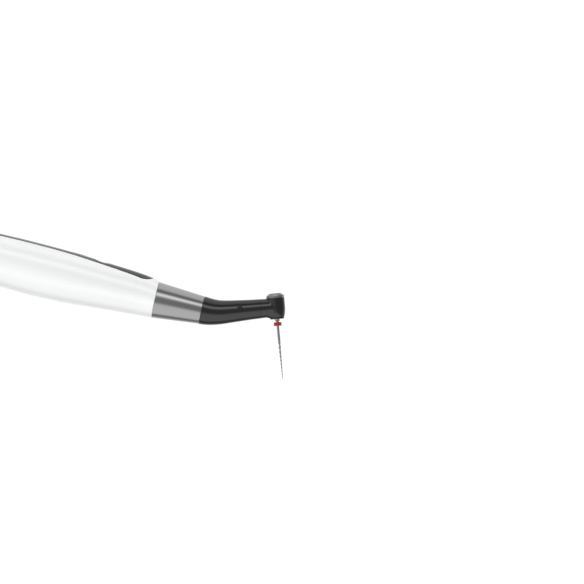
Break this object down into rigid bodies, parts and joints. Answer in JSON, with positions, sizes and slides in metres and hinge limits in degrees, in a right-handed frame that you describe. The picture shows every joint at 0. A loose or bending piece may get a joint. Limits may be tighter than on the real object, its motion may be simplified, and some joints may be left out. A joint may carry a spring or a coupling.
{
  "type": "endodontic motor handpiece",
  "caption": "Cordless dental root-canal handpiece: white grip with dark control strip, grey collar, bent black neck, push-button head and a rotary file with a red stop.",
  "frame": {"origin": "where the drive axis meets the flat rear face of the grip", "axes": "+X along the drive axis from the rear face towards the head, +Z towards the side with the control strip and buttons, +Y to the left when looking along +X"},
  "size_m": [0.1791, 0.0244, 0.0362],
  "materials": {
    "white_plastic": "smooth gloss",
    "panel_dark": "high gloss",
    "button_grey": "satin",
    "lens_smoke": "translucent, clear",
    "collar_grey": "lacquered, semi-gloss",
    "neck_black": "glossy coating",
    "cap_grey": "satin coating",
    "steel": "machined",
    "nickel_titanium": "ground",
    "red_silicone": "soft",
    "brass": "turned",
    "gold_plate": "plated",
    "board_green": "laminate",
    "moulded_grey": "moulded",
    "black_rubber": "matt",
    "cell_wrap": "shrink wrap over a metal can",
    "wire_red": "insulation",
    "wire_black": "insulation",
    "nose_metal": "machined"
  },
  "bodies": {
    "motor_handle": {"handle_shell": "white_plastic", "top_panel": "panel_dark", "status_lens": "lens_smoke", "rear_cap": "white_plastic", "rear_gasket": "black_rubber", "charge_contact_left": "gold_plate", "charge_contact_right": "gold_plate", "rear_cap_screw_left": "steel", "rear_cap_screw_right": "steel", "inner_frame": "moulded_grey", "battery_cell": "cell_wrap", "control_board": "board_green", "start_switch": "moulded_grey", "mode_switch": "moulded_grey", "buzzer": "moulded_grey", "battery_lead_positive": "wire_red", "battery_lead_negative": "wire_black", "motor_can": "steel", "motor_end_bell": "moulded_grey", "motor_rear_bearing": "steel", "stator_winding": "brass", "motor_front_bearing": "steel", "motor_nose": "nose_metal", "nose_o_ring_rear": "black_rubber", "nose_o_ring_front": "black_rubber"},
    "start_button": {"start_button": "button_grey"},
    "mode_button": {"mode_button": "button_grey"},
    "rotor": {"motor_rotor": "steel", "drive_dog": "steel"},
    "coupling": {"coupling_ring": "brass"},
    "contra_angle": {"collar_sleeve": "collar_grey", "sun_shaft_bearing": "brass", "ring_gear": "brass", "carrier_bearing": "brass", "neck_housing": "neck_black", "neck_set_screw": "moulded_grey", "middle_bearing": "brass", "front_shaft_bearing": "brass", "head_housing": "neck_black", "chuck_guard_ring": "neck_black", "head_lower_bearing": "steel", "head_upper_bearing": "steel", "head_cap_ring": "cap_grey", "button_spring": "steel"},
    "sun": {"sun_shaft": "steel"},
    "carrier": {"planet_carrier": "steel", "bend_gear_rear": "steel"},
    "planet_1": {"planet_gear_1": "steel"},
    "planet_2": {"planet_gear_2": "steel"},
    "planet_3": {"planet_gear_3": "steel"},
    "front_shaft": {"front_drive_shaft": "steel", "bend_gear_front": "steel"},
    "chuck": {"chuck_spindle": "steel", "spindle_gear": "steel", "file_shank": "steel", "file_blade": "nickel_titanium"},
    "latch": {"latch_blade": "steel"},
    "push_button": {"push_button": "cap_grey"},
    "stop": {"silicone_stop": "red_silicone"}
  },
  "joints": [
    {"name": "motor_spin", "type": "hinge", "parent": "motor_handle", "child": "rotor", "pos_m": [0.1, 0, 0], "axis": [1, 0, 0], "continuous": true},
    {"name": "start_press", "type": "slide", "parent": "motor_handle", "child": "start_button", "axis": [-0.083, 0, -0.9965], "range_m": [0, 0.00035], "stiffness_N_per_m": 4000, "springref_m": -0.0002},
    {"name": "mode_press", "type": "slide", "parent": "motor_handle", "child": "mode_button", "axis": [-0.0686, 0, -0.9976], "range_m": [0, 0.0003], "stiffness_N_per_m": 4000, "springref_m": -0.0002},
    {"name": "contra_angle_pull", "type": "slide", "parent": "motor_handle", "child": "coupling", "axis": [1, 0, 0], "range_m": [0, 0.014]},
    {"name": "contra_angle_swivel", "type": "hinge", "parent": "coupling", "child": "contra_angle", "pos_m": [0.12, 0, 0], "axis": [1, 0, 0], "continuous": true},
    {"name": "sun_spin", "type": "hinge", "parent": "contra_angle", "child": "sun", "pos_m": [0.13, 0, 0], "axis": [1, 0, 0], "continuous": true},
    {"name": "carrier_spin", "type": "hinge", "parent": "contra_angle", "child": "carrier", "pos_m": [0.136, 0, 0], "axis": [1, 0, 0], "continuous": true},
    {"name": "planet_1_spin", "type": "hinge", "parent": "carrier", "child": "planet_1", "pos_m": [0.1328, 0.003, 0], "axis": [1, 0, 0], "continuous": true},
    {"name": "planet_2_spin", "type": "hinge", "parent": "carrier", "child": "planet_2", "pos_m": [0.1328, -0.0015, 0.0026], "axis": [1, 0, 0], "continuous": true},
    {"name": "planet_3_spin", "type": "hinge", "parent": "carrier", "child": "planet_3", "pos_m": [0.1328, -0.0015, -0.0026], "axis": [1, 0, 0], "continuous": true},
    {"name": "front_shaft_spin", "type": "hinge", "parent": "contra_angle", "child": "front_shaft", "pos_m": [0.1436, 0, 0], "axis": [0.9527, 0, 0.304], "continuous": true},
    {"name": "spindle_spin", "type": "hinge", "parent": "contra_angle", "child": "chuck", "pos_m": [0.16961, 0, 0.0083], "axis": [-0.304, 0, 0.9527], "continuous": true},
    {"name": "cap_press", "type": "slide", "parent": "contra_angle", "child": "push_button", "axis": [0.304, 0, -0.9527], "range_m": [0, 0.0006], "stiffness_N_per_m": 2500, "springref_m": -0.0006, "deforming": ["button_spring"]},
    {"name": "latch_slide", "type": "slide", "parent": "chuck", "child": "latch", "axis": [-0.9527, 0, -0.304], "range_m": [0, 0.00035]},
    {"name": "stop_slide", "type": "slide", "parent": "chuck", "child": "stop", "axis": [0.304, 0, -0.9527], "range_m": [0, 0.012]}
  ],
  "couplings": [
    {"joint": "sun_spin", "follows": "motor_spin", "ratio": 1},
    {"joint": "carrier_spin", "follows": "motor_spin", "ratio": 0.25},
    {"joint": "planet_1_spin", "follows": "motor_spin", "ratio": -0.75},
    {"joint": "planet_2_spin", "follows": "motor_spin", "ratio": -0.75},
    {"joint": "planet_3_spin", "follows": "motor_spin", "ratio": -0.75},
    {"joint": "front_shaft_spin", "follows": "motor_spin", "ratio": 0.25},
    {"joint": "spindle_spin", "follows": "motor_spin", "ratio": -0.16667},
    {"joint": "latch_slide", "follows": "cap_press", "ratio": 0.58333}
  ]
}
